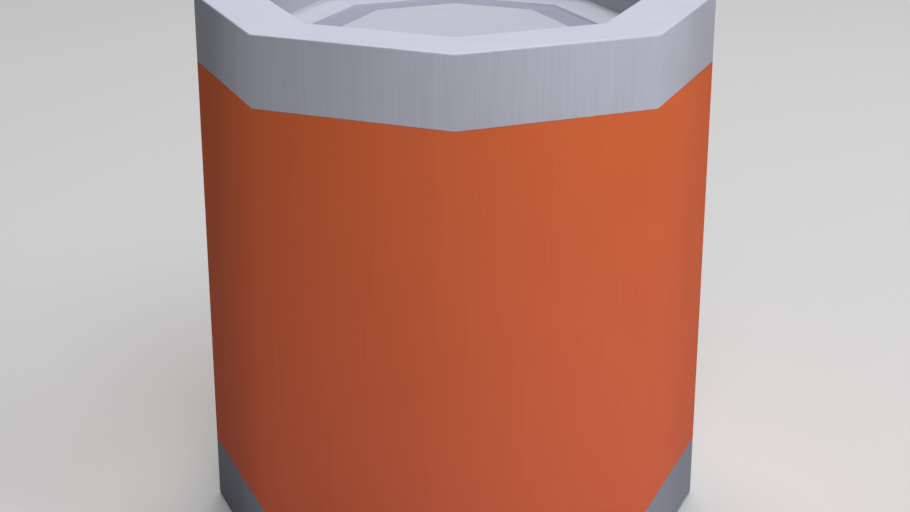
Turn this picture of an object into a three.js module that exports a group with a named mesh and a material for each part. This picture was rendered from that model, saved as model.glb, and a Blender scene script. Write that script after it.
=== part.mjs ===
// A sealed drink can with an eight-sided body, as one closed solid.
//
// Sizes are millimetres. The can stands on z = 0 with its axis on z and one corner towards -y.
// A distance called a corner is measured from the axis to the point where two flats would meet.
import * as THREE from 'three';

const sides = 8;
const bodyCorner = 34;
const height = 72.7;
const bendRadius = 1; // the rounding along each upright corner of the body
const bendSteps = 4;

const end = {
  rimCorner: 25.4, // inner edge of the flat rim
  recessDepth: 4.4, // rim top to the panel
  grooveOuterCorner: 19.65,
  grooveInnerCorner: 14.85,
  grooveWall: 0.45, // how far each groove wall leans
  grooveDepth: 0.25,
};

const base = {
  standOuterCorner: 33.4, // the flat ring that the can stands on
  standInnerCorner: 30.2,
  legCorner: 28.8, // where the ring's inner wall meets the dome
  legHeight: 2.2,
  domeShoulderCorner: 15,
  domeShoulderHeight: 3.3,
  domeHeight: 3.7,
};

const edgeRounding = 0.5; // rim and recess edges
const fineRounding = 0.2; // the groove's edges
const domeRounding = 6; // the base's soft shoulders
const roundingSteps = 4;

// The half section, from the middle of the base round to the middle of the end.
// Each row is corner distance, height and how much of each neighbouring side the rounding takes.
function halfSection() {
  const panel = height - end.recessDepth;
  const floor = panel - end.grooveDepth;
  return [
    [0, base.domeHeight, 0],
    [base.domeShoulderCorner, base.domeShoulderHeight, domeRounding],
    [base.legCorner, base.legHeight, edgeRounding],
    [base.standInnerCorner, 0, edgeRounding],
    [base.standOuterCorner, 0, 0],
    [bodyCorner, 0, bodyCorner - base.standOuterCorner],
    [bodyCorner, height, edgeRounding],
    [end.rimCorner, height, edgeRounding],
    [end.rimCorner, panel, edgeRounding],
    [end.grooveOuterCorner, panel, fineRounding],
    [end.grooveOuterCorner - end.grooveWall, floor, fineRounding],
    [end.grooveInnerCorner + end.grooveWall, floor, fineRounding],
    [end.grooveInnerCorner, panel, fineRounding],
    [0, panel, 0],
  ];
}

// A point at the given distance from one corner of the half section, towards another.
function along(from, to, distance) {
  const start = new THREE.Vector2(from[0], from[1]);
  const step = new THREE.Vector2(to[0], to[1]).sub(start);
  return start.addScaledVector(step.normalize(), distance);
}

// Turns the rows into a smooth path: each corner becomes a short curve between its two sides.
function roundedPath(rows) {
  const path = new THREE.Path();
  path.moveTo(rows[0][0], rows[0][1]);
  for (let i = 1; i < rows.length - 1; i++) {
    const [corner, level, rounding] = rows[i];
    const into = along(rows[i], rows[i - 1], rounding);
    const outOf = along(rows[i], rows[i + 1], rounding);
    path.lineTo(into.x, into.y);
    if (rounding > 0) {
      path.quadraticCurveTo(corner, level, outOf.x, outOf.y);
    }
  }
  const last = rows[rows.length - 1];
  path.lineTo(last[0], last[1]);
  return path;
}

// One turn of the eight-sided outline, scaled so that its flats would meet at distance 1.
function unitOutline() {
  const halfSide = Math.PI / sides;
  const bend = bendRadius / bodyCorner;
  const bendCentre = 1 - bend / Math.cos(halfSide);
  const points = [];
  for (let side = 0; side < sides; side++) {
    const corner = 2 * halfSide * side;
    for (let step = 0; step <= bendSteps; step++) {
      const turn = corner + halfSide * ((2 * step) / bendSteps - 1);
      const x = bendCentre * Math.sin(corner) + bend * Math.sin(turn);
      const y = -bendCentre * Math.cos(corner) - bend * Math.cos(turn);
      points.push(new THREE.Vector2(x, y));
    }
  }
  return points;
}

// Turns the half section about the axis, then presses every ring of the turned form to the outline.
function pressedCan() {
  const section = roundedPath(halfSection()).getPoints(roundingSteps);
  const outline = unitOutline();
  const turned = new THREE.LatheGeometry(section, outline.length);
  const position = turned.attributes.position;
  for (let i = 0; i < position.count; i++) {
    const ring = section[i % section.length];
    const place = outline[Math.floor(i / section.length) % outline.length];
    position.setXYZ(i, ring.x * place.x, ring.x * place.y, ring.y);
  }
  turned.computeVertexNormals();
  return turned;
}

const can = new THREE.Mesh(
  pressedCan(),
  new THREE.MeshStandardMaterial({ color: '#d9703f', roughness: 0.45, metalness: 0.2 }),
);
can.name = 'can';

const drinkCan = new THREE.Group();
drinkCan.add(can);

export default drinkCan;
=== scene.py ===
import math

import bmesh
import bpy
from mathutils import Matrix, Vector


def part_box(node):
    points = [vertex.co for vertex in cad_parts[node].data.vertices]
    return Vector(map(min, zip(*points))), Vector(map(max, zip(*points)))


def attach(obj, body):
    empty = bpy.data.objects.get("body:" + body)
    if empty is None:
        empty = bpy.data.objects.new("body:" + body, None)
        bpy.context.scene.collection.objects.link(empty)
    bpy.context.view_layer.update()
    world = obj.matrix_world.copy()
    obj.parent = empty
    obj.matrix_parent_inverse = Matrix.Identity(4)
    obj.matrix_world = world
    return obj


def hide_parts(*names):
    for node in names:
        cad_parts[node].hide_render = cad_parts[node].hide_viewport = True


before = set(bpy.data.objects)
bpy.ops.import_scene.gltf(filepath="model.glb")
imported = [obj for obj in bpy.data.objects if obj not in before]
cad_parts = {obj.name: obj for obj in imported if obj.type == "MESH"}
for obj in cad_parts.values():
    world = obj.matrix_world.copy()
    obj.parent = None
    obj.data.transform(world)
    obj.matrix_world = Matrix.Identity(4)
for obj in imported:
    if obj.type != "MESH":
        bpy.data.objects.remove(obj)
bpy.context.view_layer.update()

# An eight-sided drink can: a drawn body with an orange painted field, and an end with a flat rim.
# Lengths are metres. A corner is the distance from the axis to where two flats would meet.
mm = 0.001
scene = bpy.context.scene
scene.view_settings.view_transform = "Standard"

sides = 8
halfSide = math.pi / sides
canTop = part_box("can")[1].z

outline = {
    "bend": 1 * mm,           # rounding along each upright corner
    "bendSegments": 4,
    "flatColumns": 8,         # faces across each flat
    "middleReach": 0.1 * mm,  # a point nearer the axis than this has no side to face
}
bendReach = outline["bend"] * math.tan(halfSide)
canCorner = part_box("can")[1].y + outline["bend"] * (1 / math.cos(halfSide) - 1)


# A wire ring with eight flats and rounded corners, as the first outline of a pressing.
def startRing(bm, corner, height):
    circle = bmesh.ops.create_circle(bm, cap_ends=True, segments=sides, radius=corner)
    reach = bendReach * corner / canCorner
    bmesh.ops.bevel(bm, geom=circle["verts"], affect="VERTICES", offset=reach, offset_type="OFFSET",
                    segments=outline["bendSegments"], profile=0.5, material=-1)
    bmesh.ops.delete(bm, geom=list(bm.faces), context="FACES_ONLY")
    flats = [e for e in bm.edges if e.calc_length() > 2 * reach]
    bmesh.ops.subdivide_edges(bm, edges=flats, cuts=outline["flatColumns"] - 1)
    bmesh.ops.translate(bm, verts=bm.verts, vec=(0, 0, height))
    return list(bm.edges)


# Pulls the open ring out to the next row of a section.
def growRing(bm, ring, fromRow, toRow):
    pulled = bmesh.ops.extrude_edge_only(bm, edges=ring)["geom"]
    verts = [g for g in pulled if isinstance(g, bmesh.types.BMVert)]
    widen = toRow[0] / fromRow[0]
    bmesh.ops.scale(bm, verts=verts, vec=(widen, widen, 1))
    bmesh.ops.translate(bm, verts=verts, vec=(0, 0, toRow[1] - fromRow[1]))
    new = set(verts)
    return [g for g in pulled if isinstance(g, bmesh.types.BMEdge) and new.issuperset(g.verts)]


# Rows of (corner, height, rounding), with each rounding replaced by a short curve of rows.
def roundedRows(rows, steps=4):
    smooth = [Vector(rows[0][:2])]
    for before, row, after in zip(rows, rows[1:], rows[2:]):
        turn = Vector(row[:2])
        into = turn + (Vector(before[:2]) - turn).normalized() * row[2]
        outOf = turn + (Vector(after[:2]) - turn).normalized() * row[2]
        for step in range(steps + 1 if row[2] else 1):
            t = step / steps
            smooth.append(into.lerp(turn, t).lerp(turn.lerp(outOf, t), t))
    return smooth + [Vector(rows[-1][:2])]


# Presses a closed sheet along rows that run from the middle outwards.
def pressSheet(rows, thickness):
    bm = bmesh.new()
    section = roundedRows(rows)
    ring = startRing(bm, *section[0])
    middle = bmesh.ops.edgenet_fill(bm, edges=ring)["faces"]
    bmesh.ops.poke(bm, faces=middle)
    for fromRow, toRow in zip(section, section[1:]):
        ring = growRing(bm, ring, fromRow, toRow)
    bmesh.ops.recalc_face_normals(bm, faces=bm.faces)
    bmesh.ops.solidify(bm, geom=list(bm.faces), thickness=thickness)
    return bm


# Large faces rule the shading, and every normal is turned to point straight out from the axis,
# so the flats run into each other softly round the body.
def softNormals(bm):
    normals = []
    for v in bm.verts:
        normal = Vector((0, 0, 0))
        for face in v.link_faces:
            normal += face.normal * face.calc_area()
        out = Vector((v.co.x, v.co.y, 0))
        flat = Vector((normal.x, normal.y, 0))
        if out.length > outline["middleReach"] and flat.length > 0:
            out.normalize()
            side = 1 if flat.dot(out) > 0 else -1
            normal = out * side * flat.length + Vector((0, 0, normal.z))
        normals.append(normal.normalized())
    return normals


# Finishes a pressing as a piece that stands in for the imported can.
def finishPiece(bm, name, materials, paint):
    for face in bm.faces:
        face.smooth = True
        face.material_index = materials.index(paint(face))
    mesh = bpy.data.meshes.new(name)
    bm.to_mesh(mesh)
    mesh.normals_split_custom_set_from_vertices(softNormals(bm))
    bm.free()
    piece = bpy.data.objects.new(name, mesh)
    scene.collection.objects.link(piece)
    for material in materials:
        mesh.materials.append(material)
    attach(piece, "root")
    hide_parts("can")
    return piece


# Shader pieces that the metals and the lacquer share.
def newMaterial(name, settings):
    material = bpy.data.materials.new(name)
    material.use_nodes = True
    tree = material.node_tree
    shader = tree.nodes["Principled BSDF"]
    for socket, value in settings.items():
        shader.inputs[socket].default_value = value
    return material, tree, shader


def objectNoise(tree, stretch, size, detail=2.0, roughness=0.5):
    place = tree.nodes.new("ShaderNodeTexCoord")
    mapping = tree.nodes.new("ShaderNodeMapping")
    noise = tree.nodes.new("ShaderNodeTexNoise")
    mapping.inputs["Scale"].default_value = stretch
    noise.inputs["Scale"].default_value = 1 / size
    noise.inputs["Detail"].default_value = detail
    noise.inputs["Roughness"].default_value = roughness
    tree.links.new(place.outputs["Object"], mapping.inputs["Vector"])
    tree.links.new(mapping.outputs["Vector"], noise.inputs["Vector"])
    return noise.outputs["Fac"]


def objectHeight(tree):
    place = tree.nodes.new("ShaderNodeTexCoord")
    split = tree.nodes.new("ShaderNodeSeparateXYZ")
    tree.links.new(place.outputs["Object"], split.inputs["Vector"])
    return split.outputs["Z"]


# Turns one range of values into another. Most of a noise lies between 0.3 and 0.7.
def spreadOver(tree, value, low, high, fromLow=0.3, fromHigh=0.7):
    spread = tree.nodes.new("ShaderNodeMapRange")
    spread.inputs["From Min"].default_value = fromLow
    spread.inputs["From Max"].default_value = fromHigh
    spread.inputs["To Min"].default_value = low
    spread.inputs["To Max"].default_value = high
    tree.links.new(value, spread.inputs["Value"])
    return spread.outputs["Result"]


# One value from two noises, the first of which has the given share in it.
def mixNoises(tree, first, second, share):
    total = tree.nodes.new("ShaderNodeMath")
    tree.links.new(spreadOver(tree, first, 0, share), total.inputs[0])
    tree.links.new(spreadOver(tree, second, 0, 1 - share), total.inputs[1])
    return total.outputs[0]


# Each colour is either a fixed one or another node's output.
def blendColours(tree, factor, first, second):
    mix = tree.nodes.new("ShaderNodeMix")
    mix.data_type = "RGBA"
    mix.clamp_factor = True
    for socket, colour in ((mix.inputs["A"], first), (mix.inputs["B"], second)):
        if isinstance(colour, bpy.types.NodeSocket):
            tree.links.new(colour, socket)
        else:
            socket.default_value = (*colour, 1)
    tree.links.new(factor, mix.inputs["Factor"])
    return mix.outputs["Result"]


def bumpFrom(tree, height, strength, depth, under=None):
    bump = tree.nodes.new("ShaderNodeBump")
    bump.inputs["Strength"].default_value = strength
    bump.inputs["Distance"].default_value = depth
    tree.links.new(height, bump.inputs["Height"])
    if under:
        tree.links.new(under, bump.inputs["Normal"])
    return bump.outputs["Normal"]


metal = {
    "metallic": 0.3,
    "darker": (0.66, 0.675, 0.79),
    "lighter": (0.75, 0.76, 0.89),
    "roughness": (0.40, 0.56),
    "grain": 0.3 * mm,        # width of one drawing or rolling line
    "grainStretch": 0.02,     # how slowly the lines change along their length
    "grainDetail": 4,
    "grainRoughness": 0.6,
    "grainDepth": 0.02 * mm,
    "grainBump": 0.4,
    "smudge": 12 * mm,
    "smudgeDetail": 3,
    "lineShare": 0.7,         # how much of the tone comes from the lines, and not from the smudges
}
up = (1, 1, metal["grainStretch"])        # lines up a drawn wall
across = (metal["grainStretch"], 1, 1)    # lines across a rolled sheet
evenly = (1, 1, 1)


# The parallel lines that drawing or rolling leaves.
def fineLines(tree, stretch):
    return objectNoise(tree, stretch, metal["grain"], metal["grainDetail"], metal["grainRoughness"])


# Bare aluminium: fine lines along one direction, and soft smudges between them. A tone below one
# makes a darker copy, which some parts take as painted shade.
def bareMetal(name, stretch, tone=(1, 1, 1), rougher=0.0):
    material, tree, shader = newMaterial(name, {"Metallic": metal["metallic"]})
    lines = fineLines(tree, stretch)
    smudges = objectNoise(tree, evenly, metal["smudge"], metal["smudgeDetail"])
    wear = mixNoises(tree, lines, smudges, metal["lineShare"])
    low = [t * c for t, c in zip(tone, metal["darker"])]
    high = [t * c for t, c in zip(tone, metal["lighter"])]
    tree.links.new(blendColours(tree, wear, low, high), shader.inputs["Base Color"])
    rough = [r + rougher for r in metal["roughness"]]
    tree.links.new(spreadOver(tree, wear, *rough, 0, 1), shader.inputs["Roughness"])
    grain = bumpFrom(tree, lines, metal["grainBump"], metal["grainDepth"])
    tree.links.new(grain, shader.inputs["Normal"])
    return material


lacquer = {
    "upperDarker": (0.69, 0.141, 0.045),
    "upperLighter": (0.73, 0.154, 0.051),
    "lowerDarker": (0.65, 0.133, 0.069),    # painted shade: darker and pinker towards the foot
    "lowerLighter": (0.69, 0.145, 0.077),
    "roughness": (0.62, 0.74),
    "gloss": 0.02,             # the film is nearly matt
    "mottle": 14 * mm,
    "ripple": 0.9 * mm,        # orange peel in the dried film
    "rippleDetail": 1,
    "rippleDepth": 0.012 * mm,
    "rippleBump": 0.3,
    "lineBump": 0.25,
    "lineShare": 0.6,          # how much of the tone comes from the drawn lines under the film
}


# Satin orange lacquer, rolled on to the drawn wall: its lines still show faintly through the film.
def orangeLacquer():
    material, tree, shader = newMaterial("orangeLacquer", {
        "Metallic": 0.0, "Specular IOR Level": lacquer["gloss"]})
    mottle = objectNoise(tree, evenly, lacquer["mottle"])
    lines = fineLines(tree, up)
    ripple = objectNoise(tree, evenly, lacquer["ripple"], lacquer["rippleDetail"])
    tone = mixNoises(tree, lines, mottle, lacquer["lineShare"])
    # Painted shade: the film is darker and pinker at the foot and lighter towards the top, blended
    # by height.
    lower = blendColours(tree, tone, lacquer["lowerDarker"], lacquer["lowerLighter"])
    upper = blendColours(tree, tone, lacquer["upperDarker"], lacquer["upperLighter"])
    height = spreadOver(tree, objectHeight(tree), 0, 1, 0, canTop)
    tree.links.new(blendColours(tree, height, lower, upper), shader.inputs["Base Color"])
    tree.links.new(spreadOver(tree, tone, *lacquer["roughness"], 0, 1), shader.inputs["Roughness"])
    film = bumpFrom(tree, ripple, lacquer["rippleBump"], lacquer["rippleDepth"])
    grain = bumpFrom(tree, lines, lacquer["lineBump"], metal["grainDepth"], under=film)
    tree.links.new(grain, shader.inputs["Normal"])
    return material


# Metals for the collar, the rim, the panel, the recess wall, the groove and the body's bare parts.
# The panel, recess wall and groove are darker copies, as painted shade of the recess and the groove,
# and the body's bare parts are a darker copy, as painted shade on the lower band.
wallMetal = bareMetal("drawnAluminium", up)
sheetMetal = bareMetal("rolledAluminium", across, tone=(0.90, 0.90, 0.90), rougher=0.18)
shadedPanelMetal = bareMetal("shadedPanelAluminium", across, tone=(0.78, 0.77, 0.765), rougher=0.18)
shadedRecessMetal = bareMetal("shadedRecessAluminium", up, tone=(0.70, 0.70, 0.645))
shadedGrooveMetal = bareMetal("shadedGrooveAluminium", across, tone=(0.485, 0.505, 0.54), rougher=0.2)
shadedLowerMetal = bareMetal("shadedLowerAluminium", up, tone=(0.55, 0.58, 0.59), rougher=0.05)
orange = orangeLacquer()
print("materials ready")

end = {
    "thickness": 0.24 * mm,
    "collar": 8.95 * mm,           # how far the rim turns down over the wall, as the upper bare band
    "rimCorner": 25.4 * mm,
    "recessDepth": 4.4 * mm,
    "grooveOuterCorner": 19.65 * mm,
    "grooveInnerCorner": 14.85 * mm,
    "grooveWall": 0.45 * mm,       # how far each groove wall leans
    "grooveDepth": 0.25 * mm,
    "grooveMargin": 1 * mm,        # left flat inside the groove
    "rounding": 0.25 * mm,
    "footRounding": 0.12 * mm,     # where the recess wall meets the panel
    "fineRounding": 0.12 * mm,
    "levelMargin": 0.03 * mm,      # further off the panel's level than this is rim or groove
    "recessMargin": 0.5 * mm,      # further past the rim's inner edge than this is the collar
    "wallTilt": 0.3,               # a face that points up less than this is wall or underside
}


# The end: middle panel, pressed groove, outer panel, recess wall, flat rim and its collar.
def makeEnd():
    panel = canTop - end["recessDepth"]
    grooveFloor = panel - end["grooveDepth"]
    floorOuter = end["grooveOuterCorner"] - end["grooveWall"]
    floorInner = end["grooveInnerCorner"] + end["grooveWall"]
    rows = [
        (end["grooveInnerCorner"] - end["grooveMargin"], panel, 0),
        (end["grooveInnerCorner"], panel, end["fineRounding"]),
        (floorInner, grooveFloor, end["fineRounding"]),
        (floorOuter, grooveFloor, end["fineRounding"]),
        (end["grooveOuterCorner"], panel, end["fineRounding"]),
        (end["rimCorner"], panel, end["footRounding"]),
        (end["rimCorner"], canTop, end["rounding"]),
        (canCorner, canTop, end["rounding"]),
        (canCorner, canTop - end["collar"], 0),
    ]
    bm = pressSheet(rows, end["thickness"])

    # The recess wall, the panel and the groove take darker copies of the metal: painted shade of the
    # recess and the groove.
    def paint(face):
        middle = face.calc_center_median()
        if face.normal.z < end["wallTilt"]:
            inShadedRecess = middle.to_2d().length < end["rimCorner"] + end["recessMargin"]
            return shadedRecessMetal if inShadedRecess else wallMetal
        if middle.z > panel + end["levelMargin"]:
            return sheetMetal
        return shadedGrooveMetal if middle.z < panel - end["levelMargin"] else shadedPanelMetal

    materials = [sheetMetal, wallMetal, shadedGrooveMetal, shadedPanelMetal, shadedRecessMetal]
    return finishPiece(bm, "canEnd", materials, paint)


body = {
    "thickness": 0.24 * mm,
    "seamGap": 0.03 * mm,          # hairline under the end's collar
    "lowerBand": 8.9 * mm,
    "baseRounding": 0.6 * mm,
    "standInnerCorner": 30.2 * mm,
    "standRounding": 0.5 * mm,
    "legCorner": 28.8 * mm,
    "legHeight": 2.2 * mm,
    "legRounding": 0.5 * mm,
    "domeShoulderCorner": 15 * mm,
    "domeShoulderHeight": 3.3 * mm,
    "domeRounding": 4 * mm,
    "domeHeight": 3.7 * mm,
    "poleCorner": 2 * mm,          # the dome's flat middle
    "wallTilt": 0.1,               # a face that points up or down more than this isn't wall
}


# The drawn body: domed base, stand ring, lower bare band and the painted wall up to the collar.
def makeBody():
    lowerLine = body["lowerBand"]
    upperLine = canTop - end["collar"] - body["seamGap"]
    rows = [
        (body["poleCorner"], body["domeHeight"], 0),
        (body["domeShoulderCorner"], body["domeShoulderHeight"], body["domeRounding"]),
        (body["legCorner"], body["legHeight"], body["legRounding"]),
        (body["standInnerCorner"], 0, body["standRounding"]),
        (canCorner, 0, body["baseRounding"]),
        (canCorner, lowerLine, 0),
        (canCorner, upperLine, 0),
    ]
    bm = pressSheet(rows, body["thickness"])

    # The bare parts take the darker copy: painted shade on the lower band.
    def paint(face):
        middle = face.calc_center_median()
        upright = abs(face.normal.z) < body["wallTilt"]
        outside = middle.to_2d().dot(face.normal.to_2d()) > 0
        painted = upright and outside and lowerLine < middle.z < upperLine
        return orange if painted else shadedLowerMetal

    return finishPiece(bm, "canBody", [shadedLowerMetal, orange], paint)


canBody = makeBody()
canEnd = makeEnd()
print("can ready:", len(canBody.data.polygons) + len(canEnd.data.polygons), "faces")

studio = {
    "floorRadius": 0.6,
    "floorSegments": 128,
    "floorThickness": 0.02,
    "floorColour": (0.70, 0.70, 0.70),
    "floorRoughness": 0.8,
    "roomColour": (0.97, 0.985, 1.0),
    "roomLight": 0.002,                # how much the room lights the can
    "roomBackdrop": 0.55,              # how bright the room looks behind it
    "lights": {                        # place, aim, size, watts
        "keyLight": ((0.5, -0.5, 0.9), (0, 0, 0.04), (0.7, 0.7), 2.2),
        "sideLight": ((0.8, -0.1, 0.4), (0, 0, 0.04), (0.9, 0.5), 2.7),
        "frontLight": ((0.1, -0.7, 0.75), (0, 0, 0.04), (0.6, 0.4), 3.6),
        "topLight": ((0, 0.3, 0.95), (0, 0, 0.05), (0.5, 0.4), 4.1),
        "highBackLight": ((0.04, 0.6, 0.8), (0, 0, 0.05), (0.9, 0.6), 1.5),
    },
}


# A round pale table top.
def makeFloor():
    bm = bmesh.new()
    bmesh.ops.create_circle(bm, cap_ends=True, segments=studio["floorSegments"],
                            radius=studio["floorRadius"])
    bmesh.ops.recalc_face_normals(bm, faces=bm.faces)
    bmesh.ops.solidify(bm, geom=list(bm.faces), thickness=studio["floorThickness"])
    top = max(v.co.z for v in bm.verts)
    bmesh.ops.translate(bm, verts=bm.verts, vec=(0, 0, -top))
    mesh = bpy.data.meshes.new("floor")
    bm.to_mesh(mesh)
    bm.free()
    floor = bpy.data.objects.new("floor", mesh)
    scene.collection.objects.link(floor)
    material = newMaterial("paleFloor", {
        "Base Color": (*studio["floorColour"], 1), "Roughness": studio["floorRoughness"]})[0]
    mesh.materials.append(material)
    floor.visible_glossy = False      # no glare off the table in the can's wall


def makeLight(name, place, aim, size, watts):
    data = bpy.data.lights.new(name, "AREA")
    data.shape = "RECTANGLE"
    data.size, data.size_y = size
    data.energy = watts
    light = bpy.data.objects.new(name, data)
    scene.collection.objects.link(light)
    light.location = place
    light.rotation_euler = (Vector(aim) - Vector(place)).to_track_quat("-Z", "Y").to_euler()
    light.visible_camera = False


# The room looks pale behind the table top, and gives hardly any light of its own.
def makeRoom():
    world = bpy.data.worlds.new("softRoom")
    scene.world = world
    world.use_nodes = True
    tree = world.node_tree
    background = tree.nodes["Background"]
    background.inputs["Color"].default_value = (*studio["roomColour"], 1)
    path = tree.nodes.new("ShaderNodeLightPath")
    strength = spreadOver(tree, path.outputs["Is Camera Ray"],
                          studio["roomLight"], studio["roomBackdrop"], 0, 1)
    tree.links.new(strength, background.inputs["Strength"])


makeFloor()
makeRoom()
for name, light in studio["lights"].items():
    makeLight(name, *light)

view = {
    "back": 6.467,       # camera distance in front of the axis, in can corners
    "above": 1.303,      # camera height above the rim, in can corners
    "tilt": 20.145,      # degrees below the horizon
    "lens": 67.57,       # millimetres
    "nearest": 0.01,     # nearest thing that the camera can see
}


def makeCamera():
    data = bpy.data.cameras.new("camera")
    data.lens = view["lens"]
    data.clip_start = view["nearest"]
    camera = bpy.data.objects.new("camera", data)
    scene.collection.objects.link(camera)
    camera.location = (0, -view["back"] * canCorner, canTop + view["above"] * canCorner)
    camera.rotation_euler = (math.radians(90 - view["tilt"]), 0, 0)
    scene.camera = camera


makeCamera()
print("studio ready")
